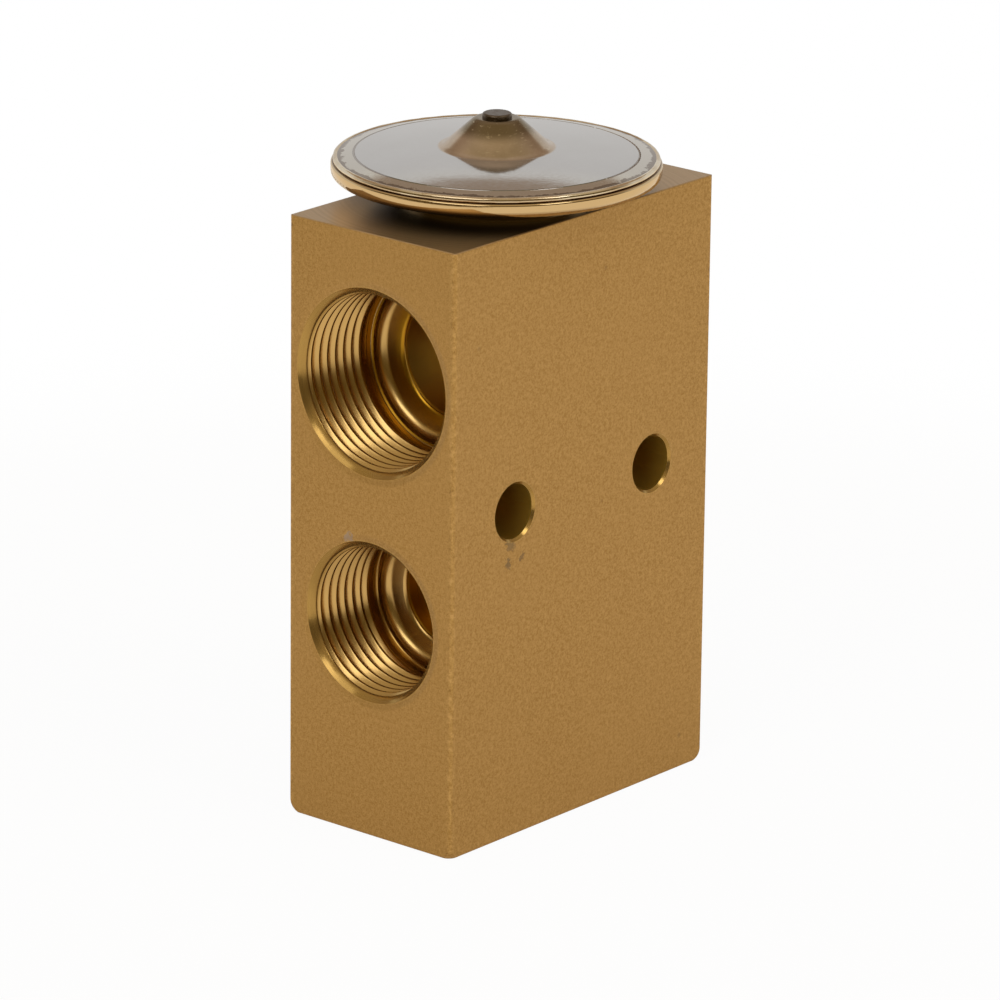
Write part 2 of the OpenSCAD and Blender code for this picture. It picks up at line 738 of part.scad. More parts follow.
// Height of the wire's middle after a number of turns: closed ends, an even pitch between
function coil_z(turn, length) =
    let (
        first = wire_d / 4,
        closed = wire_d + coil_gap,
        open = (length - 2 * first - 2 * closed) / (spring_turns - 2)
    )
    turn < 1 ? first + closed * turn
    : turn < spring_turns - 1 ? first + closed + open * (turn - 1)
    : length - first - closed * (spring_turns - turn);

// Point on the wire's skin, with the two ends ground flat
function coil_point(turn, side, sides, length) =
    let (
        angle = 360 * turn,
        around = 360 * side / sides,
        r = (spring_d - wire_d) / 2 + wire_d / 2 * cos(around),
        z = coil_z(turn, length) + wire_d / 2 * sin(around)
    )
    [r * cos(angle), r * sin(angle), min(max(z, 0), length)];

// Closed skin of the coiled wire, from rings of points along it
module coil(length) {
    sides = 10;
    steps_a_turn = 24;
    steps = spring_turns * steps_a_turn;
    points = [
        for (i = [0 : steps], j = [0 : sides - 1]) coil_point(i / steps_a_turn, j, sides, length)
    ];
    skin = [
        for (i = [0 : steps - 1], j = [0 : sides - 1])
            let (
                a = i * sides + j,
                b = i * sides + (j + 1) % sides,
                c = a + sides,
                d = b + sides
            )
            each [[a, b, c], [b, d, c]]
    ];
    first_end = [for (j = [1 : sides - 2]) [0, j + 1, j]];
    last_end = [for (j = [1 : sides - 2]) [steps * sides, steps * sides + j, steps * sides + j + 1]];
    polyhedron(points, concat(skin, first_end, last_end));
}

module superheat_spring() {
    color(steel)
        translate([axis_x, 0, spring_cup_z]) coil(carrier_foot_z - spring_cup_z);
}

// Screw with a key socket in its foot, a smooth nose, a ring groove and a cup for the spring
module adjusting_screw() {
    color(brass)
        translate([axis_x, 0, 0])
            difference() {
                union() {
                    translate([0, 0, adjuster_foot_z])
                        cylinder(d = adjuster_thread_d - 2 * seat_gap, h = adjuster_thread_len);
                    translate([0, 0, nose_foot_z]) cylinder(d = nose_d, h = nose_len);
                }
                translate([0, 0, groove_foot_z])
                    difference() {
                        cylinder(d = adjuster_thread_d, h = adjuster_groove_w);
                        translate([0, 0, -over])
                            cylinder(d = adjuster_groove_d, h = adjuster_groove_w + 2 * over);
                    }
                translate([0, 0, spring_cup_z])
                    cylinder(d = spring_cup_d, h = nose_top_z - spring_cup_z + over);
                translate([0, 0, adjuster_foot_z - over])
                    cylinder(d = socket_af / cos(30), h = socket_depth + over, $fn = 6);
            }
}

module adjuster_seal() {
    seal_ring(
        adjuster_groove_d / 2 + ring_gap + adjuster_seal_t / 2,
        adjuster_seal_t,
        (groove_foot_z + groove_top_z) / 2
    );
}

valve_block();
lower_cover();
upper_cover();
charge_plug();
diaphragm();
diaphragm_stop();
head_seal();
sensing_rod();
push_pin();
rod_seal();
seal_retainer();
valve_ball();
ball_carrier();
damping_spring();
superheat_spring();
adjusting_screw();
adjuster_seal();
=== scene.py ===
# %% [markdown]
# # A block expansion valve
# This lesson dresses a packed CAD model of a brass block valve for a studio picture.
# The valve has a square block with four threaded ports, two plain holes and a round steel head.
# The shapes come from the frame, so that the picture and the moving model are one object.
# Here they get a camera, light, metals, thread ridges and a weld.

import json
from math import cos, pi, radians, sin, tan

import bmesh
import bpy
from mathutils import Matrix, Vector, noise


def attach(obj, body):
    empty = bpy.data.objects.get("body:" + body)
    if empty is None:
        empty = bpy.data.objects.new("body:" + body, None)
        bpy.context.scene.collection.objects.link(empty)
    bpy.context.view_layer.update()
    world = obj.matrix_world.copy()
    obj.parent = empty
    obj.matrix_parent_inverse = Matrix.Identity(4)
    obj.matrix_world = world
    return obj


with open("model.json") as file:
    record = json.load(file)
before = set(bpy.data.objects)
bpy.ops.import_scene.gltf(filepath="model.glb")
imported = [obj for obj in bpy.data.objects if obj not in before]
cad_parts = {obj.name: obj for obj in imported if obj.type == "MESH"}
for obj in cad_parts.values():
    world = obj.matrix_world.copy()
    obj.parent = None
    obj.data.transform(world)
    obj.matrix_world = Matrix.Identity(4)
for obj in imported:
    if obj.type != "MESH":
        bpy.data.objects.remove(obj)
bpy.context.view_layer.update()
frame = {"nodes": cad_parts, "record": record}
nodes = frame["nodes"]
scene = bpy.context.scene

# %% [markdown]
# ## The sizes of the block
# Metals and threads have to land exactly on the solids, so the few sizes that they follow are
# named here once. Measuring the mesh would give the same numbers with more code. A port opens
# in a narrow face, on the side given as -1 or 1, and its root is the bottom of the thread.

# %% Name the sizes of the block
MM = 0.001
AXIS_X = -1.4 * MM
HALF_W = 23.6 * MM
HALF_D = 12.7 * MM
BLOCK_H = 74.0 * MM
PORTS = {
    "suction_in": dict(side=-1, z=55.95 * MM, mouth=11.45 * MM, root=11.1 * MM, depth=12.1 * MM),
    "suction_out": dict(side=1, z=55.95 * MM, mouth=11.45 * MM, root=11.1 * MM, depth=12.1 * MM),
    "outlet": dict(side=-1, z=26.7 * MM, mouth=9.85 * MM, root=9.5 * MM, depth=11.3 * MM),
    "inlet": dict(side=1, z=16.2 * MM, mouth=8.35 * MM, root=7.9 * MM, depth=9.3 * MM),
}
HOLE_Z = 40.45 * MM
HOLES_X = (-12.45 * MM, 12.85 * MM)
HOLE_R = 3.35 * MM
print("ports:", ", ".join(PORTS))

# %% [markdown]
# ## The camera
# The picture was taken with a long lens from a little above, towards the front left edge.
# Turning a camera by hand would do, but three angles and two slides can be read and changed.
# The angles give the direction to the camera, and the slides put the block in the picture.

# %% Place the camera
BEARING = radians(-49.96)
HEIGHT = radians(17.93)
ROLL = radians(0.65)
DISTANCE = 816.0 * MM
SLIDE_RIGHT = -0.33 * MM
SLIDE_UP = -34.41 * MM
FOCAL_PIXELS = 6741
PICTURE_PIXELS = 1000
SENSOR = 36

back = Vector((sin(BEARING) * cos(HEIGHT), -cos(BEARING) * cos(HEIGHT), sin(HEIGHT)))
level_right = Vector((cos(BEARING), sin(BEARING), 0))
level_up = back.cross(level_right)
right = level_right * cos(ROLL) + level_up * sin(ROLL)
up = level_up * cos(ROLL) - level_right * sin(ROLL)

camera_data = bpy.data.cameras.new("studio_camera")
camera_data.sensor_width = SENSOR
camera_data.lens = FOCAL_PIXELS / PICTURE_PIXELS * SENSOR
camera_data.clip_start = 0.01
camera_data.clip_end = 20
camera = bpy.data.objects.new("studio_camera", camera_data)
scene.collection.objects.link(camera)
turn = Matrix((right, up, back)).transposed().to_4x4()
camera.matrix_world = Matrix.Translation(back * DISTANCE - right * SLIDE_RIGHT - up * SLIDE_UP) @ turn
scene.camera = camera
scene.view_settings.view_transform = "Standard"
print("camera at", [round(c, 3) for c in camera.matrix_world.translation])

# %% [markdown]
# ## Tools for node trees
# A metal here is some thirty nodes. Linked one by one they would fill pages, so a small class
# keeps a tree in hand, and each of its calls adds one node and gives back what comes out of it.

# %% A node tree with short calls


class Shader:
    """A node tree with short calls: add a node, do sums, ramp a value, mix colours."""

    def __init__(self, tree):
        self.tree = tree

    def add(self, kind, settings=None, **inputs):
        made = self.tree.nodes.new("ShaderNode" + kind)
        for key, value in (settings or {}).items():
            setattr(made, key, value)
        for key, value in inputs.items():
            self.put(made.inputs[key.replace("_", " ")], value)
        return made

    def put(self, socket, value):
        if isinstance(value, bpy.types.NodeSocket):
            self.tree.links.new(value, socket)
        else:
            socket.default_value = value

    def sum(self, operation, *values, clamp=False):
        made = self.tree.nodes.new("ShaderNodeMath")
        made.operation = operation
        made.use_clamp = clamp
        for socket, value in zip(made.inputs, values):
            self.put(socket, value)
        return made.outputs[0]

    def vector(self, operation, *values):
        made = self.tree.nodes.new("ShaderNodeVectorMath")
        made.operation = operation
        for socket, value in zip(made.inputs, values):
            self.put(socket, value)
        return made.outputs["Value" if operation == "LENGTH" else "Vector"]

    def ramp(self, value, low, high, to_low=0.0, to_high=1.0, smooth=True):
        made = self.tree.nodes.new("ShaderNodeMapRange")
        made.interpolation_type = "SMOOTHSTEP" if smooth else "LINEAR"
        for socket, number in zip(made.inputs[:5], (value, low, high, to_low, to_high)):
            self.put(socket, number)
        return made.outputs[0]

    def mix(self, factor, first, second):
        made = self.tree.nodes.new("ShaderNodeMix")
        made.data_type = "RGBA"
        self.put(made.inputs[0], factor)
        self.put(made.inputs[6], first)
        self.put(made.inputs[7], second)
        return made.outputs[2]

    def fade(self, factor, first, second):
        made = self.tree.nodes.new("ShaderNodeMix")
        made.data_type = "FLOAT"
        self.put(made.inputs[0], factor)
        self.put(made.inputs[2], first)
        self.put(made.inputs[3], second)
        return made.outputs[0]

    def noise(self, vector, scale, detail=2.0, roughness=0.5):
        made = self.add("TexNoise", Vector=vector, Scale=scale, Detail=detail, Roughness=roughness)
        return made.outputs[0]

    def place(self):
        return self.add("TexCoord").outputs["Object"]

    def split(self, vector):
        return self.add("SeparateXYZ", Vector=vector).outputs

    def from_axis(self, first, second, at_first, at_second):
        """Distance of a point from an axis, from its two coordinates across it."""
        a = self.sum("SUBTRACT", first, at_first)
        b = self.sum("SUBTRACT", second, at_second)
        return self.sum("SQRT", self.sum("ADD", self.sum("MULTIPLY", a, a), self.sum("MULTIPLY", b, b)))


print("node tools:", ", ".join(name for name in vars(Shader) if not name.startswith("_")))

# %% [markdown]
# ## Materials and groups
# A material starts as one Principled shader on an output. A finish that two metals share is a
# node group, built once. Colours are easier to judge as 0 to 255, and a shader works with
# linear ones, so `srgb` turns the first into the second.

# %% Start a material, a group and a colour


def srgb(red, green, blue):
    """A colour from 0 to 255 as the linear colour that a shader takes."""
    parts = [c / 255 for c in (red, green, blue)]
    return [c / 12.92 if c <= 0.04045 else ((c + 0.055) / 1.055) ** 2.4 for c in parts] + [1.0]


def empty_tree(owner):
    """Clears the nodes of a material or a world, and gives its short calls."""
    owner.use_nodes = True
    owner.node_tree.nodes.clear()
    return Shader(owner.node_tree)


def new_material(name):
    """An empty material with a Principled shader on its output."""
    made = bpy.data.materials.new(name)
    shader = empty_tree(made)
    surface = shader.add("BsdfPrincipled")
    output = shader.add("OutputMaterial")
    shader.put(output.inputs["Surface"], surface.outputs[0])
    return made, shader, surface


def new_group(name, inputs, outputs):
    """An empty node group. Each input is (name, kind, default), each output (name, kind)."""
    group = bpy.data.node_groups.new(name, "ShaderNodeTree")
    for title, kind, default in inputs:
        socket = group.interface.new_socket(title, in_out="INPUT", socket_type="NodeSocket" + kind)
        if default is not None:
            socket.default_value = default
    for title, kind in outputs:
        group.interface.new_socket(title, in_out="OUTPUT", socket_type="NodeSocket" + kind)
    entry = group.nodes.new("NodeGroupInput")
    leave = group.nodes.new("NodeGroupOutput")
    return group, Shader(group), entry.outputs, leave.inputs


def use_group(shader, group, **inputs):
    """Places a group in a material and gives its outputs."""
    made = shader.tree.nodes.new("ShaderNodeGroup")
    made.node_tree = group
    for key, value in inputs.items():
        shader.put(made.inputs[key], value)
    return made.outputs


print("a mid grey of 128 is", round(srgb(128, 128, 128)[0], 3), "to a shader")

# %% [markdown]
# ## The floor
# The real block stood on white paper. A disc of paper is enough, a hair below the foot, so
# that both never lie in one plane. It belongs to the stage, not to the valve.

# %% Lay the paper
FLOOR_R = 0.42
FLOOR_Z = -0.05 * MM

floor_mesh = bpy.data.meshes.new("paper_floor")
bm = bmesh.new()
bmesh.ops.create_circle(bm, cap_ends=True, segments=96, radius=FLOOR_R)
bm.to_mesh(floor_mesh)
bm.free()
floor = bpy.data.objects.new("paper_floor", floor_mesh)
scene.collection.objects.link(floor)
floor.location.z = FLOOR_Z
print("paper:", round(2 * FLOOR_R, 2), "m across")

# %% [markdown]
# More light would make the paper white, but it would bleach the brass too. So the camera sees
# the paper glow, mixed with a little matte paper that keeps the shadow of the block. Metal
# mirrors the paper, warmer, with a painted shadow of the block that dims it by the foot, and
# dark past the paper's left end. That dark end is what draws the brown stripes into the bores.

# %% The white paper
GLOW_WHITE = (1, 1, 1, 1)
GLOW_FAR = (0.88, 0.78, 0.65, 1)
GLOW_SHADED_BY_FOOT = (0.60, 0.51, 0.40, 1)
PAPER_MATTE = (0.86, 0.86, 0.86, 1)
ROOM_DARK = (0.11, 0.075, 0.022, 1)

paper = bpy.data.materials.new("white_paper")
shader = empty_tree(paper)
seen = shader.add("LightPath").outputs
place = shader.place()
from_middle = shader.vector("LENGTH", place)
near = shader.ramp(from_middle, 0.10, 0.22)
lit = shader.ramp(shader.split(place)["X"], -0.29, -0.21)
mirrored = shader.sum("MULTIPLY", seen["Is Glossy Ray"], lit)
direct = shader.sum("MAXIMUM", seen["Is Camera Ray"], mirrored)
share = shader.sum("MULTIPLY", direct, shader.ramp(near, 0, 1, 0.955, 1.0))
dark_end = shader.sum("MULTIPLY", seen["Is Glossy Ray"], shader.sum("SUBTRACT", 1.0, lit))
matte = shader.add("BsdfDiffuse", Color=shader.mix(dark_end, PAPER_MATTE, ROOM_DARK))
# Painted shadow of the block: the mirrored paper dims by the foot.
warm_glow = shader.mix(shader.ramp(from_middle, 0.03, 0.075), GLOW_SHADED_BY_FOOT, GLOW_FAR)
glow_colour = shader.mix(seen["Is Camera Ray"], warm_glow, GLOW_WHITE)
glow = shader.add("Emission", Color=glow_colour, Strength=1.0)
both = shader.add("MixShader")
shader.put(both.inputs[0], share)
shader.put(both.inputs[1], matte.outputs[0])
shader.put(both.inputs[2], glow.outputs[0])
shader.put(shader.add("OutputMaterial").inputs["Surface"], both.outputs[0])
floor_mesh.materials.append(paper)
print("paper nodes:", len(shader.tree.nodes))

# %% [markdown]
# ## The room
# A polished plate shows its room more than its own colour. A photographed room could be wrapped
# round the scene, but a few ramps give the same and read nothing from disk. Behind the block
# stands a pale wall under a brown ceiling, and in front lies the dark room. The camera itself
# sees plain white.

# %% The room round the block
WALL_LOW = (0.68, 0.665, 0.65, 1)
WALL_HIGH = (0.76, 0.745, 0.71, 1)
CEILING_EDGE = (0.36, 0.27, 0.20, 1)
CEILING_TOP = (0.56, 0.47, 0.38, 1)
ROOM_WARM = (0.46, 0.37, 0.24, 1)

world = bpy.data.worlds.new("studio")
scene.world = world
shader = empty_tree(world)
seen = shader.add("LightPath").outputs
ray_x, ray_y, ray_z = shader.split(shader.add("TexCoord").outputs["Generated"])
away = shader.sum("ADD", shader.sum("MULTIPLY", ray_x, 0.77), shader.sum("MULTIPLY", ray_y, 0.64))
behind = shader.ramp(away, -0.1, 0.45)
wall = shader.mix(shader.ramp(ray_z, 0.37, 0.42), WALL_LOW, WALL_HIGH)
ceiling = shader.mix(shader.ramp(ray_z, 0.5, 0.95), CEILING_EDGE, CEILING_TOP)
far_side = shader.mix(shader.ramp(ray_z, 0.428, 0.438), wall, ceiling)
near_side = shader.mix(shader.ramp(ray_z, 0.22, 0.62), ROOM_DARK, ROOM_WARM)
room = shader.mix(seen["Is Camera Ray"], shader.mix(behind, near_side, far_side), (1, 1, 1, 1))
air = shader.add("Background", Color=room, Strength=1.0)
shader.put(shader.add("OutputWorld").inputs["Surface"], air.outputs[0])
print("room nodes:", len(shader.tree.nodes))

# %% [markdown]
# ## The lamps
# Small softboxes draw the bright streaks on threads and rim, and wide ones light the faces.
# One big lamp could do both, but then the streaks would be as wide as the lamp. So the wide
# fills aren't mirrored, and the small boxes are.

# %% Hang the softboxes
LAMP_DISTANCE = 1.1
LAMP_AIM = Vector((0, 0, 0.045))


def soft_lamp(name, toward, width, height, watts, mirrored=True):
    """A rectangular softbox in the direction `toward`, aimed at the block."""
    lamp_data = bpy.data.lights.new(name, "AREA")
    lamp_data.shape = "RECTANGLE"
    lamp_data.size = width
    lamp_data.size_y = height
    lamp_data.energy = watts
    lamp = bpy.data.objects.new(name, lamp_data)
    scene.collection.objects.link(lamp)
    lamp.location = LAMP_AIM + Vector(toward).normalized() * LAMP_DISTANCE
    lamp.rotation_euler = (LAMP_AIM - lamp.location).to_track_quat("-Z", "Y").to_euler()
    lamp.visible_glossy = mirrored
    print(name, "at", [round(c, 2) for c in lamp.location], watts, "W")


soft_lamp("key_softbox", (-0.75, -0.16, 0.64), 0.66, 0.32, 1.15)
soft_lamp("top_softbox", (-0.55, 0.05, 0.83), 0.60, 0.30, 0.45)
soft_lamp("high_softbox", (0.0, -0.68, 0.73), 0.34, 0.34, 0.9)
soft_lamp("left_fill", (-1.0, -0.2, 0.17), 0.7, 0.7, 7.3, mirrored=False)
soft_lamp("right_fill", (0.2, -1.0, 0.17), 0.7, 0.7, 6.9, mirrored=False)

# %% [markdown]
# ## Where the block is bored
# A tool leaves the bores bright, while the outside stays sandy. The solid has one mesh, so its
# faces could be picked by hand, but a mask from plain distances is exact and needs no picking.
# `machined_zone` marks every port, both mounting holes and the foot's hole. It also says how
# far along the bore a point lies, and how far from its axis.

# %% The machined zone
EDGE = 0.02 * MM
HOLE_BREAK = 0.3 * MM
FOOT_BORE_R = 7.6 * MM
FOOT_BORE_DEPTH = 9.0 * MM

machined_zone, shader, entry, leave = new_group(
    "machined_zone",
    [("Place", "Vector", None)],
    [("Mask", "Float"), ("Along", "Float"), ("Across", "Float")],
)
x, y, z = shader.split(entry["Place"])


def add_bore(shader, here, depth, radius, so_far):
    """Adds one bore's mask, depth and radius to those found so far."""
    if so_far is None:
        return here, depth, radius
    keep = shader.sum("SUBTRACT", 1.0, here)
    mask, along, across = so_far
    return (
        shader.sum("MAXIMUM", mask, here),
        shader.sum("ADD", shader.sum("MULTIPLY", along, keep), shader.sum("MULTIPLY", depth, here)),
        shader.sum("ADD", shader.sum("MULTIPLY", across, keep), shader.sum("MULTIPLY", radius, here)),
    )


found = None
for port in PORTS.values():
    radius = shader.from_axis(y, z, 0.0, port["z"])
    inside = shader.sum("LESS_THAN", radius, port["mouth"] + EDGE)
    outward = shader.sum("MULTIPLY", x, float(port["side"]))
    same_side = shader.sum("GREATER_THAN", outward, 0.0)
    depth = shader.sum("SUBTRACT", HALF_W, outward)
    found = add_bore(shader, shader.sum("MULTIPLY", inside, same_side), depth, radius, found)
for hole_x in HOLES_X:
    radius = shader.from_axis(x, z, hole_x, HOLE_Z)
    inside = shader.sum("LESS_THAN", radius, HOLE_R + HOLE_BREAK + EDGE)
    found = add_bore(shader, inside, y, radius, found)
radius = shader.from_axis(x, y, AXIS_X, 0.0)
inside = shader.sum("LESS_THAN", radius, FOOT_BORE_R + EDGE)
in_foot = shader.sum("LESS_THAN", z, FOOT_BORE_DEPTH)
found = add_bore(shader, shader.sum("MULTIPLY", inside, in_foot), z, radius, found)
for title, value in zip(("Mask", "Along", "Across"), found):
    shader.put(leave[title], value)
print("machined zone made of", len(shader.tree.nodes), "nodes")

# %% [markdown]
# ## The marks of the tool
# A boring tool leaves fine rings. Cut into the mesh they would need millions of faces, so a
# bump draws them. The noise reads only the distance along the bore and from its axis, never
# the way round, and that makes it rings.

# %% The turned marks
turned_marks, shader, entry, leave = new_group(
    "turned_marks",
    [("Along", "Float", 0.0), ("Across", "Float", 0.0), ("Depth", "Float", 0.05)],
    [("Normal", "Vector")],
)
path = shader.add("CombineXYZ", X=entry["Along"], Y=entry["Across"]).outputs[0]
rings = shader.noise(path, 9000.0, 3.0, 0.6)
bump = shader.add("Bump", Strength=entry["Depth"], Distance=0.04 * MM, Height=rings)
shader.put(leave["Normal"], bump.outputs[0])
print("turned marks ready")

# %% [markdown]
# ## The worn mouths
# Tumbling rounds the face where it meets a port, over about a millimetre. The solid's edge is
# crisp, and a bevel would change the solid. So the face only looks as if it fell away there:
# a height that drops towards the mouth feeds a bump.

# %% The worn mouths
worn_mouths, shader, entry, leave = new_group(
    "worn_mouths", [("Place", "Vector", None)], [("Height", "Float")]
)
x, y, z = shader.split(entry["Place"])
height = None
for port in PORTS.values():
    radius = shader.from_axis(y, z, 0.0, port["z"])
    same_side = shader.sum("GREATER_THAN", shader.sum("MULTIPLY", x, float(port["side"])), 0.0)
    rise = shader.ramp(radius, port["mouth"] - 0.1 * MM, port["mouth"] + 0.9 * MM)
    rise = shader.sum("ADD", rise, shader.sum("SUBTRACT", 1.0, same_side), clamp=True)
    height = rise if height is None else shader.sum("MULTIPLY", height, rise)
shader.put(leave["Height"], height)
print("worn mouths ready")

# %% [markdown]
# ## The sandy skin
# Pressed and tumbled brass has a skin like fine sandpaper. Two noises of nearly the same size
# give the grain, a wide one gives clouds, and a few cells of a Voronoi pattern become dark pits.

# %% The blasted grain
blasted_grain, shader, entry, leave = new_group(
    "blasted_grain",
    [("Place", "Vector", None)],
    [("Speckle", "Float"), ("Cloud", "Float"), ("Pit", "Float"), ("Height", "Float")],
)
fine = shader.noise(entry["Place"], 5000.0, 2.0, 0.6)
coarse = shader.noise(entry["Place"], 2200.0, 2.0, 0.55)
speckle = shader.sum("ADD", shader.sum("MULTIPLY", fine, 0.6), shader.sum("MULTIPLY", coarse, 0.4))
cells = shader.add("TexVoronoi", {"feature": "F1"}, Vector=entry["Place"], Scale=260.0)
pick = shader.add("SeparateColor", Color=cells.outputs["Color"])
chosen = shader.sum("GREATER_THAN", pick.outputs[0], 0.93)
pit = shader.sum("MULTIPLY", chosen, shader.ramp(cells.outputs["Distance"], 0.05, 0.11, 1.0, 0.0))
shader.put(leave["Speckle"], speckle)
shader.put(leave["Cloud"], shader.noise(entry["Place"], 60.0, 3.0, 0.5))
shader.put(leave["Pit"], pit)
shader.put(leave["Height"], shader.sum("SUBTRACT", speckle, shader.sum("MULTIPLY", pit, 0.8)))
print("grain ready")

# %% [markdown]
# ## Brass: the skin of the block
# The block is one bar of brass. It gets one material, because the look changes smoothly from
# the skin to the milled top and the bores, and masks can follow that. This cell makes the
# colour of the skin from the grain.

# %% The block's skin
block_brass, shader, surface = new_material("block_brass")
place = shader.place()
x, y, z = shader.split(place)
zone = use_group(shader, machined_zone, Place=place)
grain = use_group(shader, blasted_grain, Place=place)
skin = shader.mix(shader.ramp(grain["Speckle"], 0.32, 0.68), srgb(157, 118, 58), srgb(183, 144, 81))
skin = shader.mix(shader.ramp(grain["Cloud"], 0.35, 0.7, 0.0, 0.22), skin, srgb(176, 137, 77))
skin = shader.mix(shader.sum("MULTIPLY", grain["Pit"], 0.35), skin, srgb(110, 80, 44))
print("skin ready")

# %% [markdown]
# The upright edges have been knocked about, so light and dark chips lie within a millimetre of
# them. A few grey smudges lie near the lower port and the left hole. They could be painted,
# but a distance from a point with a ragged limit gives them without a picture.

# %% Chipped edges and smudges
SMUDGES = [
    ((-23.6, 3.2, 36.5), 0.45, srgb(158, 140, 122)),
    ((-13.2, -12.7, 36.5), 0.55, srgb(122, 98, 62)),
    ((-13.5, -12.7, 34.2), 0.40, srgb(112, 90, 60)),
    ((-11.2, -12.7, 34.6), 0.22, srgb(118, 92, 58)),
]

from_side = shader.sum("SUBTRACT", shader.sum("ABSOLUTE", x), HALF_W)
from_front = shader.sum("SUBTRACT", shader.sum("ABSOLUTE", y), HALF_D)
from_edge = shader.vector("LENGTH", shader.add("CombineXYZ", X=from_side, Y=from_front).outputs[0])
by_edge = shader.ramp(from_edge, 0.25 * MM, 1.0 * MM, 1.0, 0.0)
chips = shader.noise(place, 1500.0, 3.0, 0.7)
light_chips = shader.sum("MULTIPLY", by_edge, shader.ramp(chips, 0.5, 0.62, 0.0, 0.7))
dark_chips = shader.sum("MULTIPLY", by_edge, shader.ramp(chips, 0.3, 0.42, 0.55, 0.0))
skin = shader.mix(light_chips, skin, srgb(198, 158, 94))
skin = shader.mix(dark_chips, skin, srgb(112, 80, 36))
for spot, size, grey in SMUDGES:
    away = shader.vector("LENGTH", shader.vector("SUBTRACT", place, tuple(c * MM for c in spot)))
    away = shader.sum("ADD", away, shader.ramp(chips, 0.3, 0.7, -0.5 * MM, 0.5 * MM, smooth=False))
    skin = shader.mix(shader.ramp(away, size * MM, (size + 0.3) * MM, 0.75, 0.0), skin, grey)
print("smudges:", len(SMUDGES))

# %% [markdown]
# The top is milled, and the cutter leaves arcs round the head's axis. Under the head a painted
# shade darkens it. The mask is a ramp on the height, and the arcs are a noise along the radius.

# %% The milled top
milled = shader.ramp(z, BLOCK_H - 0.14 * MM, BLOCK_H - 0.04 * MM)
arc = shader.from_axis(x, y, AXIS_X, 0.0)
arcs = shader.noise(shader.add("CombineXYZ", X=arc).outputs[0], 2600.0, 2.0, 0.6)
skin = shader.mix(milled, skin, shader.mix(arcs, srgb(158, 129, 88), srgb(206, 176, 132)))
# Painted shade under the head: the milled top darkens towards its axis.
shade_under_head = shader.sum("MULTIPLY", milled, shader.ramp(arc, 14 * MM, 21.5 * MM, 0.9, 0.0))
skin = shader.mix(shade_under_head, skin, srgb(30, 16, 4))
print("milled top ready")

# %% [markdown]
# Inside the bores the brass is bare. It is paler in front, and deep inside a painted shade makes
# it browner, for the light that bounces from brass to brass before it comes out. The holes
# through the block are darker too.

# %% The bored walls
BRASS_BAND = (0.46, 0.29, 0.085, 1)
BRASS_DEEP_SHADE = (0.48, 0.26, 0.022, 1)
BRASS_HOLE = (0.50, 0.31, 0.045, 1)

off_face = shader.ramp(shader.sum("ABSOLUTE", y), HALF_D - 0.32 * MM, HALF_D - 0.28 * MM, 1.0, 0.0)
by_holes = shader.sum("LESS_THAN", shader.sum("ABSOLUTE", shader.sum("SUBTRACT", z, HOLE_Z)), 3.8 * MM)
in_hole = shader.sum("MULTIPLY", off_face, by_holes)
deep = shader.sum("MAXIMUM", shader.ramp(zone["Along"], 11.9 * MM, 12.3 * MM), in_hole)
# Painted shade: deep in the bores the brass turns browner.
bored = shader.mix(in_hole, shader.mix(deep, BRASS_BAND, BRASS_DEEP_SHADE), BRASS_HOLE)
bored_metal = shader.fade(in_hole, shader.ramp(zone["Along"], 0.9 * MM, 1.1 * MM, 0.9, 1.0), 0.8)
bored_rough = shader.fade(deep, 0.18, 0.36)
print("bored walls ready")

# %% [markdown]
# Now the parts come together on the shader. The skin is half metal, because sand and oxide
# scatter some light. Its bump is the grain, with the worn mouths over it, and the bores take
# the tool's rings instead.

# %% Put the brass together
skin_metal = shader.fade(milled, 0.45, 0.75)
skin_rough = shader.fade(milled, shader.ramp(grain["Speckle"], 0.3, 0.7, 0.62, 0.5), 0.36)
skin_height = shader.fade(milled, grain["Height"], arcs)
skin_bump = shader.add("Bump", Strength=0.35, Distance=0.06 * MM, Height=skin_height)
worn = use_group(shader, worn_mouths, Place=place)
worn_bump = shader.add("Bump", Strength=1.0, Distance=0.32 * MM, Height=worn["Height"])
shader.put(worn_bump.inputs["Normal"], skin_bump.outputs[0])
marks = use_group(shader, turned_marks, Along=zone["Along"], Across=zone["Across"], Depth=0.12)
shader.put(surface.inputs["Base Color"], shader.mix(zone["Mask"], skin, bored))
shader.put(surface.inputs["Metallic"], shader.fade(zone["Mask"], skin_metal, bored_metal))
shader.put(surface.inputs["Roughness"], shader.fade(zone["Mask"], skin_rough, bored_rough))
shader.put(surface.inputs["Normal"], shader.mix(zone["Mask"], worn_bump.outputs[0], marks["Normal"]))
print("block brass made of", len(shader.tree.nodes), "nodes")

# %% [markdown]
# ## Cut brass
# The thread ridges and the smooth rings in the ports are freshly cut, so they are the brightest
# brass. Their front ring has the colour of the bore beside it, and the floor the bore's painted shade.

# %% Brass of the ridges and rings
BRASS_BRIGHT = (0.67, 0.455, 0.175, 1)

cut_brass, shader, surface = new_material("cut_brass")
zone = use_group(shader, machined_zone, Place=shader.place())
marks = use_group(shader, turned_marks, Along=zone["Along"], Across=zone["Across"], Depth=0.10)
past_front = shader.ramp(zone["Along"], 1.0 * MM, 1.25 * MM)
cut = shader.mix(past_front, BRASS_BAND, BRASS_BRIGHT)
# Painted shade: the seat's floor takes the deep brown of the bore.
cut = shader.mix(shader.ramp(zone["Along"], 13.6 * MM, 14.1 * MM), cut, BRASS_DEEP_SHADE)
shader.put(surface.inputs["Base Color"], cut)
shader.put(surface.inputs["Metallic"], shader.fade(past_front, 0.9, 1.0))
shader.put(surface.inputs["Roughness"], 0.23)
shader.put(surface.inputs["Normal"], marks["Normal"])
print("cut brass ready")

# %% [markdown]
# ## Metals and rubber inside
# No view shows these pieces well, so one short function is enough for all of them: a plain
# colour, with a roughness that varies a little as if worn.

# %% Metals and rubber inside


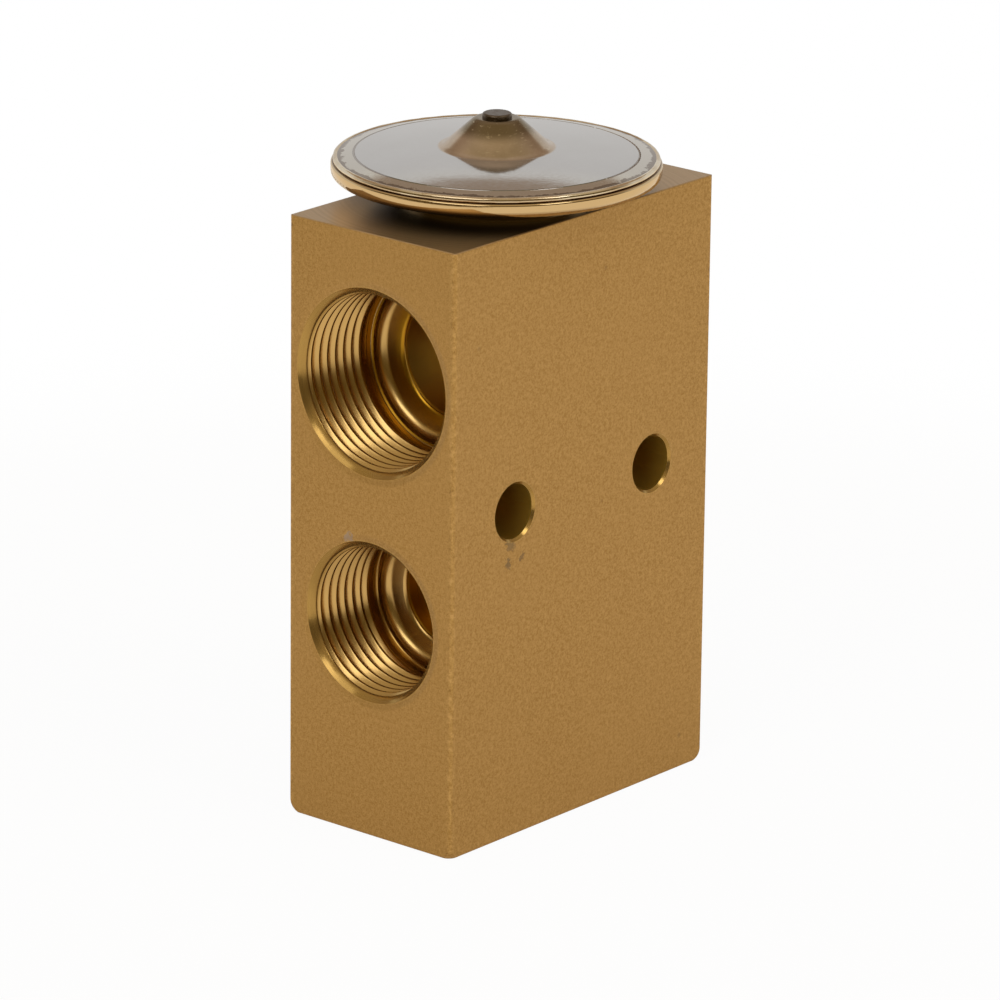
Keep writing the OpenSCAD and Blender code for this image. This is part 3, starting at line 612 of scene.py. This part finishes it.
def plain_metal(name, colour, rough, metallic=1.0):
    """A metal or rubber with slight wear, for the pieces inside."""
    made, shader, surface = new_material(name)
    wear = shader.noise(shader.place(), 900.0, 3.0, 0.6)
    shader.put(surface.inputs["Base Color"], colour)
    shader.put(surface.inputs["Metallic"], metallic)
    shader.put(surface.inputs["Roughness"], shader.ramp(wear, 0.3, 0.7, rough * 0.8, rough * 1.2))
    return made


turned_brass = plain_metal("turned_brass", BRASS_BRIGHT, 0.22)
rod_steel = plain_metal("rod_steel", (0.62, 0.60, 0.57, 1), 0.2)
spring_steel = plain_metal("spring_steel", (0.42, 0.40, 0.37, 1), 0.32)
foil_steel = plain_metal("foil_steel", (0.60, 0.58, 0.55, 1), 0.25)
ring_rubber = plain_metal("ring_rubber", (0.02, 0.022, 0.02, 1), 0.5, 0.0)
print("inner metals ready")

# %% [markdown]
# ## Steel of the head
# The head is two pressed covers of bright steel. The plate on top is pale, and the rim under it
# is yellowish. Soldering heat has browned the boss, and a painted shade darkens its top. Masks
# from the height and from the distance to the head's axis put each tint and the shade in place.

# %% The steel and the boss
RIM_TOP = 78.35 * MM
RIM_GOLD = (0.70, 0.52, 0.28, 1)
BOSS_TOP_SHADE = (0.17, 0.125, 0.06, 1)
SCRATCH = (0.72, 0.62, 0.46, 1)

head_steel, shader, surface = new_material("head_steel")
place = shader.place()
x, y, z = shader.split(place)
radius = shader.from_axis(x, y, AXIS_X, 0.0)
cloud = shader.noise(place, 180.0, 4.0, 0.6)
steel = shader.mix(cloud, (0.56, 0.545, 0.53, 1), (0.62, 0.61, 0.60, 1))
below_plate = shader.ramp(z, RIM_TOP - 0.05 * MM, RIM_TOP + 0.05 * MM, 1.0, 0.0)
steel = shader.mix(below_plate, steel, RIM_GOLD)
on_boss = shader.ramp(radius, 6.7 * MM, 7.1 * MM, 1.0, 0.0)
boss_tint_and_shade = shader.mix(shader.ramp(cloud, 0.35, 0.65), (0.48, 0.38, 0.27, 1), (0.60, 0.48, 0.36, 1))
# Painted shade: the boss darkens towards its top.
boss_tint_and_shade = shader.mix(shader.ramp(z, 81.5 * MM, 82.7 * MM, 0.0, 0.85), boss_tint_and_shade, BOSS_TOP_SHADE)
scratches = shader.noise(shader.vector("MULTIPLY", place, (1.0, 2.2, 5.0)), 900.0, 3.0, 0.7)
boss_tint_and_shade = shader.mix(shader.ramp(scratches, 0.60, 0.68, 0.0, 0.5), boss_tint_and_shade, SCRATCH)
steel = shader.mix(on_boss, steel, boss_tint_and_shade)
print("boss tinted")

# %% [markdown]
# Outside its groove the plate is a pale ring, and burnt dirt creeps in from the weld with a
# ragged edge. A noise added to the radius makes the limit ragged. The groove is a thin dark
# line, and so is the painted shade in the seam under the weld.

# %% The ring, the groove and the seam
GROOVE_DARK = (0.26, 0.20, 0.14, 1)
BURNT = (0.16, 0.11, 0.075, 1)
PALE_RING = (0.62, 0.58, 0.51, 1)
SEAM_SHADE = (0.20, 0.12, 0.05, 1)
GROOVE_R = 16.8 * MM

on_plate = shader.sum("SUBTRACT", 1.0, below_plate)
pale = shader.sum("MULTIPLY", on_plate, shader.ramp(radius, 16.9 * MM, 17.0 * MM))
steel = shader.mix(pale, steel, PALE_RING)
dirt = shader.noise(place, 700.0, 4.0, 0.7)
ragged = shader.sum("ADD", radius, shader.ramp(dirt, 0.3, 0.7, -0.45 * MM, 0.45 * MM, smooth=False))
burnt = shader.sum("MULTIPLY", on_plate, shader.ramp(ragged, 18.15 * MM, 18.35 * MM))
steel = shader.mix(shader.sum("MULTIPLY", burnt, 0.75), steel, BURNT)
from_groove = shader.sum("ABSOLUTE", shader.sum("SUBTRACT", radius, GROOVE_R))
steel = shader.mix(shader.ramp(from_groove, 0.06 * MM, 0.16 * MM, 0.6, 0.0), steel, GROOVE_DARK)
seam_foot = shader.ramp(z, RIM_TOP - 0.04 * MM, RIM_TOP - 0.01 * MM)
seam_head = shader.ramp(z, RIM_TOP + 0.2 * MM, RIM_TOP + 0.25 * MM, 1.0, 0.0)
seam = shader.sum("MULTIPLY", seam_foot, seam_head)
seam = shader.sum("MULTIPLY", seam, shader.ramp(radius, 18.0 * MM, 18.2 * MM))
# Painted shade: a thin dark line in the corner under the weld.
steel = shader.mix(seam, steel, SEAM_SHADE)
print("ring and seam tinted")

# %% [markdown]
# The edge of the rim curls under. The solid has it upright, which would mirror one flat band,
# so a bump bends its light: the height falls with the square of the way down. On level
# surfaces that height is constant, and the bump does nothing there.

# %% The roll of the rim
ROLL_START = RIM_TOP - 0.35 * MM
ROLL_DEPTH = 1.4 * MM
ROLL_SLOPE = 0.84

fine = shader.noise(place, 2200.0, 3.0, 0.6)
smear = shader.add("Bump", Strength=0.05, Distance=0.05 * MM, Height=fine)
down = shader.sum("SUBTRACT", ROLL_START, z)
down = shader.sum("MAXIMUM", shader.sum("MINIMUM", down, ROLL_DEPTH), 0.0)
roll = shader.sum("MULTIPLY", shader.sum("MULTIPLY", down, down), -ROLL_SLOPE / 2 / ROLL_DEPTH)
rolled = shader.add("Bump", Strength=1.0, Distance=1.0, Height=roll)
shader.put(rolled.inputs["Normal"], smear.outputs[0])
shader.put(surface.inputs["Base Color"], steel)
shader.put(surface.inputs["Metallic"], 1.0)
plate_rough = shader.ramp(fine, 0.3, 0.7, 0.07, 0.11)
shader.put(surface.inputs["Roughness"], shader.fade(on_boss, plate_rough, 0.20))
shader.put(surface.inputs["Normal"], rolled.outputs[0])
print("head steel made of", len(shader.tree.nodes), "nodes")

# %% [markdown]
# ## Steel of the weld and the plug
# The weld is bright where it was rubbed and brown elsewhere. The plug is dark, as its own weld
# has burnt it. Both are a noise between two colours.

# %% Weld and plug
weld_steel, shader, surface = new_material("weld_steel")
place = shader.place()
wear = shader.noise(place, 1200.0, 4.0, 0.65)
patch = shader.noise(place, 150.0, 2.0, 0.5)
shade = shader.mix(wear, (0.60, 0.47, 0.30, 1), (0.74, 0.60, 0.41, 1))
shade = shader.mix(shader.ramp(patch, 0.45, 0.6), shade, (0.84, 0.74, 0.56, 1))
shader.put(surface.inputs["Base Color"], shade)
shader.put(surface.inputs["Metallic"], 1.0)
shader.put(surface.inputs["Roughness"], shader.ramp(wear, 0.3, 0.7, 0.13, 0.22))

plug_steel, shader, surface = new_material("plug_steel")
wear = shader.noise(shader.place(), 1400.0, 4.0, 0.65)
shader.put(surface.inputs["Base Color"], shader.mix(wear, (0.09, 0.07, 0.05, 1), (0.20, 0.16, 0.12, 1)))
shader.put(surface.inputs["Metallic"], 1.0)
shader.put(surface.inputs["Roughness"], shader.ramp(wear, 0.3, 0.7, 0.28, 0.42))
print("weld and plug ready")

# %% [markdown]
# ## Dress the solids
# Each solid keeps its shape and takes its metal by the name of its slot in the record. That way
# a piece that is added to the model later is dressed as well.

# %% Give each solid its metal
by_slot = {
    "block_brass": block_brass,
    "head_steel": head_steel,
    "plug_steel": plug_steel,
    "foil_steel": foil_steel,
    "inner_brass": turned_brass,
    "screw_brass": turned_brass,
    "rod_steel": rod_steel,
    "spring_steel": spring_steel,
    "ring_rubber": ring_rubber,
}
for subpart in frame["record"]["subparts"]:
    for slot in nodes[subpart["node"]].material_slots:
        slot.material = by_slot[subpart["material_slot"]]

# %% [markdown]
# ## From a bmesh to a piece
# Every new piece ends the same way: its faces are turned outwards, shaded smooth up to a sharp
# angle, and it rides on a body, in the place where its points already are.

# %% Finish a piece


def finish_piece(bm, name, body, material, smooth_angle):
    """Makes an object of a bmesh that rides on a body, with its faces outward."""
    bmesh.ops.recalc_face_normals(bm, faces=bm.faces)
    mesh = bpy.data.meshes.new(name)
    bm.to_mesh(mesh)
    bm.free()
    mesh.materials.append(material)
    for face in mesh.polygons:
        face.use_smooth = True
    mesh.set_sharp_from_angle(angle=radians(smooth_angle))
    piece = bpy.data.objects.new(name, mesh)
    scene.collection.objects.link(piece)
    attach(piece, body)
    print(name, "faces:", len(mesh.polygons))


# %% [markdown]
# ## The section of a thread
# The ports have threads of 18 ridges to the inch. On the real block a tap cut them into the
# wall. Here the bore is as wide as the thread's root, and one ridge stands on it, which looks
# the same and needs no cutting. The section has slanted flanks and a crest with round edges.

# %% The ridge's section
THREAD_PITCH = 25.4 / 18 * MM
THREAD_HEIGHT = 0.45 * THREAD_PITCH
THREAD_FLANK = radians(35)
THREAD_BASE = 7 / 8 * THREAD_PITCH
CREST_SOFT = 0.12 * MM


def ridge_section():
    """Pairs of (along the bore, height over the root), from one foot to the other."""
    half_base = THREAD_BASE / 2
    slant = tan(THREAD_FLANK)
    crest = half_base - THREAD_HEIGHT * slant
    low = THREAD_HEIGHT - CREST_SOFT - 0.02 * MM
    half = [(half_base, 0.0), (half_base - low * slant, low)]
    for degrees in (35, 50, 65, 80, 90):
        angle = radians(degrees)
        along = crest - CREST_SOFT * slant + CREST_SOFT * cos(angle)
        half.append((along, THREAD_HEIGHT - CREST_SOFT + CREST_SOFT * sin(angle)))
    return [(-along, rise) for along, rise in half] + half[::-1]


print("ridge:", len(ridge_section()), "points,", round(THREAD_HEIGHT / MM, 2), "mm high")

# %% [markdown]
# ## Winding the ridge
# A Screw modifier would wind the section too, but bmesh's spin gives points whose order is
# known: one section after another. So each section can still be shaped. At the mouth it is
# pushed back behind the countersink, and over the last part of a turn it sinks into the wall,
# as a tap leaves it.

# %% Wind the ridge
TURN_STEPS = 120
SUNK = 0.03 * MM
THREAD_START = 0.02 * MM
RUN_OUT_TURNS = 0.6
BEHIND_CONE = 0.06 * MM


def thread_ridge(name, port):
    """Winds the ridge from the mouth to the port's end, where it runs out into the wall."""
    travel = port["depth"] - THREAD_PITCH / 2 - THREAD_START
    turns = travel / THREAD_PITCH
    steps = round(turns * TURN_STEPS)
    section = ridge_section()
    bm = bmesh.new()
    verts = []
    for along, height in section:
        from_mouth = THREAD_START + along
        verts.append(bm.verts.new((port["side"] * (HALF_W - from_mouth), port["root"], port["z"])))
    edges = [bm.edges.new(pair) for pair in zip(verts, verts[1:] + verts[:1])]
    bmesh.ops.spin(
        bm,
        geom=verts + edges,
        cent=(0, 0, port["z"]),
        axis=(port["side"], 0, 0),
        dvec=(-port["side"] * travel / steps, 0, 0),
        angle=turns * 2 * pi,
        steps=steps,
        use_merge=False,
    )
    bmesh.ops.holes_fill(bm, edges=[e for e in bm.edges if e.is_boundary], sides=0)
    for index, vert in enumerate(bm.verts):
        step, corner = divmod(index, len(section))
        run_out = min(1.0, (steps - step) / (RUN_OUT_TURNS * TURN_STEPS))
        rise = section[corner][1] * run_out
        depth = HALF_W - port["side"] * vert.co.x
        cone = port["mouth"] - depth + BEHIND_CONE
        radius = min(max(port["root"] - rise, cone), max(port["root"], cone))
        radius += SUNK * (1 - rise / THREAD_HEIGHT)
        across = Vector((0, vert.co.y, vert.co.z - port["z"])).normalized() * radius
        vert.co.y = across.y
        vert.co.z = port["z"] + across.z
        vert.co.x = port["side"] * (HALF_W - max(depth, THREAD_START))
    finish_piece(bm, name, "valve_body", cut_brass, 40)


print("one turn has", TURN_STEPS, "steps")

# %% [markdown]
# ## Turned rings
# Each port also has three smooth shapes that a lathe would turn: the countersink in front of the
# thread, the edge where the thread's relief ends, and the fillet at the floor. The block's
# solid has plain corners there. A closed section, spun once round the port's axis with its back
# a little inside the wall, lays each of them on the solid.

# %% Spin a ring


def turned_ring(name, port, section):
    """Spins a closed section of (depth, radius) pairs round a port's axis."""
    bm = bmesh.new()
    verts = []
    for depth, radius in section:
        verts.append(bm.verts.new((port["side"] * (HALF_W - depth), radius, port["z"])))
    edges = [bm.edges.new(pair) for pair in zip(verts, verts[1:] + verts[:1])]
    bmesh.ops.spin(
        bm,
        geom=verts + edges,
        cent=(0, 0, port["z"]),
        axis=(1, 0, 0),
        angle=2 * pi,
        steps=TURN_STEPS,
        use_merge=True,
    )
    finish_piece(bm, name, "valve_body", cut_brass, 40)


print("ring tool ready")

# %% [markdown]
# The countersink leads the fitting in. It is the broad bright band that the eye sees first, and
# it covers the ragged start of the ridge. It rises a third of a millimetre over the root.

# %% The countersink


def mouth_collar(name, port):
    """The smooth ring that runs from the mouth down to the first crest."""
    start = port["mouth"] - port["root"] - SUNK
    root = port["root"]
    section = [
        (start, root + SUNK),
        (start + 0.28 * MM, root - 0.24 * MM),
        (start + 0.52 * MM, root - 0.38 * MM),
        (start + 0.58 * MM, root - 0.395 * MM),
        (start + 0.66 * MM, root - 0.37 * MM),
        (start + 0.98 * MM, root + SUNK),
    ]
    turned_ring(name, port, section)


print("countersink section ready")

# %% [markdown]
# Behind the thread the bore steps in to the seat for the fitting's ring. The step's edge is
# broken, and that thin turned lip catches the light as one bright line.

# %% The lip of the seat
SEATS = {
    "suction_in": dict(step=12.2 * MM, wall=10.5 * MM, floor=14.6 * MM, hole=7.3 * MM),
    "suction_out": dict(step=12.2 * MM, wall=10.5 * MM, floor=14.6 * MM, hole=7.3 * MM),
    "outlet": dict(step=11.8 * MM, wall=9.1 * MM, floor=14.0 * MM, hole=6.2 * MM),
    "inlet": dict(step=10.4 * MM, wall=7.45 * MM, floor=12.8 * MM, hole=3.4 * MM),
}


def shoulder_lip(name, port, seat):
    """The bright broken edge where the thread's relief steps in to the smooth seat."""
    step = seat["step"]
    wall = seat["wall"]
    section = [
        (step + 0.10 * MM, wall + 0.34 * MM),
        (step - 0.04 * MM, wall + 0.30 * MM),
        (step - 0.02 * MM, wall + 0.22 * MM),
        (step + 0.10 * MM, wall + 0.06 * MM),
        (step + 0.24 * MM, wall - 0.02 * MM),
        (step + 0.34 * MM, wall - 0.02 * MM),
        (step + 0.40 * MM, wall + 0.10 * MM),
    ]
    turned_ring(name, port, section)


print("seats:", ", ".join(SEATS))

# %% [markdown]
# The seat ends in a wide fillet and a floor that slopes like a drill's point. The fillet makes
# the soft bright ring deep in the port, so it is made of a true arc. The floor in front of it
# ends in a small round lip at the passage.

# %% The fillet of the seat
FLOOR_SLOPE = radians(12)
FILLET_R = 1.5 * MM
FILLET_STEPS = 12
FLOOR_LIFT = 0.35 * MM


def seat_fillet(name, port, seat):
    """The fillet between the smooth seat and its sloping floor, and the lip at the passage."""
    wall = seat["wall"]
    hole = seat["hole"]
    fall = tan(FLOOR_SLOPE)
    behind = seat["floor"] - (wall - hole) * fall
    centre = behind - FLOOR_LIFT + FILLET_R * (fall - 1 / cos(FLOOR_SLOPE))
    section = [(behind + SUNK, wall + SUNK)]
    for step in range(FILLET_STEPS + 1):
        angle = (pi / 2 - FLOOR_SLOPE) * step / FILLET_STEPS
        section.append((centre + FILLET_R * sin(angle), wall - FILLET_R + FILLET_R * cos(angle)))
    end = seat["floor"] - FLOOR_LIFT
    section.append((end - 0.45 * MM * fall, hole + 0.45 * MM))
    section.append((end, hole + 0.18 * MM))
    section.append((end + 0.14 * MM, hole + 0.05 * MM))
    section.append((seat["floor"] + SUNK, hole + 0.10 * MM))
    turned_ring(name, port, section)


print("fillet section ready")

# %% [markdown]
# ## Fill the ports
# All four ports are made alike, so one loop gives each its lip, fillet, ridge and countersink.

# %% Fill the ports
for port_name, port in PORTS.items():
    shoulder_lip(f"shoulder_{port_name}", port, SEATS[port_name])
    seat_fillet(f"fillet_{port_name}", port, SEATS[port_name])
    thread_ridge(f"thread_{port_name}", port)
    mouth_collar(f"collar_{port_name}", port)

# %% [markdown]
# ## The weld round the head
# The two covers are welded where they meet, and the bead stands in the step between them. A
# torus would be too even, so an oval section is spun and then every point is moved a little by
# a noise, the same on every run.

# %% Lay the weld
PLATE_R = 18.95 * MM
WELD_R = PLATE_R - 0.03 * MM
WELD_Z = RIM_TOP + 0.33 * MM
WELD_THICK = 0.33 * MM
WELD_SIDES = 14
WELD_STEPS = 360

bm = bmesh.new()
verts = []
for side in range(WELD_SIDES):
    angle = 2 * pi * side / WELD_SIDES
    out = AXIS_X + WELD_R + WELD_THICK * cos(angle)
    verts.append(bm.verts.new((out, 0, WELD_Z + 1.15 * WELD_THICK * sin(angle))))
edges = [bm.edges.new(pair) for pair in zip(verts, verts[1:] + verts[:1])]
bmesh.ops.spin(
    bm,
    geom=verts + edges,
    cent=(AXIS_X, 0, 0),
    axis=(0, 0, 1),
    angle=2 * pi,
    steps=WELD_STEPS,
    use_merge=True,
)
for vert in bm.verts:
    spot = vert.co * 420
    wobble = noise.noise(spot) * 0.02 * MM + noise.noise(spot * 3) * 0.006 * MM
    outward = Vector((vert.co.x - AXIS_X, vert.co.y, 0)).normalized()
    vert.co += outward * wobble
    vert.co.z += noise.noise(spot * 1.7 + Vector((5, 1, 2))) * 0.03 * MM
finish_piece(bm, "head_weld", "valve_body", weld_steel, 60)

# %% [markdown]

# %% [markdown]
